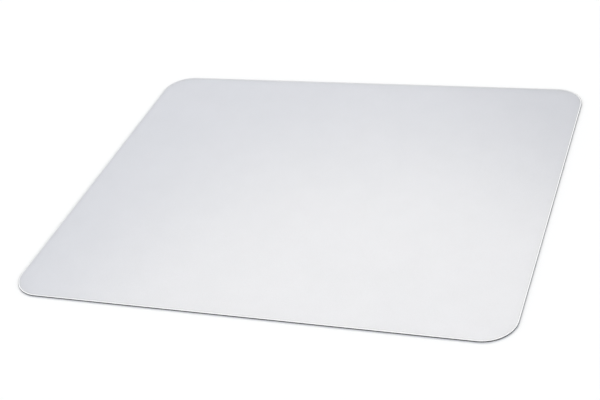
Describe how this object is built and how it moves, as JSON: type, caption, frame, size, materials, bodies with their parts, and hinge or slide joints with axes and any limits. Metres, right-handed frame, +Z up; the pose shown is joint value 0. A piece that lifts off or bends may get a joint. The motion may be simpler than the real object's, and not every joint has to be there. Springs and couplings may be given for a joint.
{
  "type": "chair mat",
  "caption": "Flat translucent chair mat for hard floors: a stiff rounded rectangle with a bevelled rim, a fine-textured top and a soft gripping underside.",
  "frame": {"origin": "on the floor, under the centre of the mat", "axes": "+X along the long side, +Y towards the back edge, +Z up out of the top face"},
  "size_m": [1.2, 1, 0.0035],
  "materials": {
    "wear_skin": "translucent frosted satin with a fine grain",
    "core_plastic": "clear faintly cool sheet with a smooth cut edge",
    "soft_backing": "clear soft film, matt"
  },
  "bodies": {
    "root": {"wear_layer": "wear_skin", "core_sheet": "core_plastic", "anti_slip_backing": "soft_backing"}
  },
  "joints": []
}
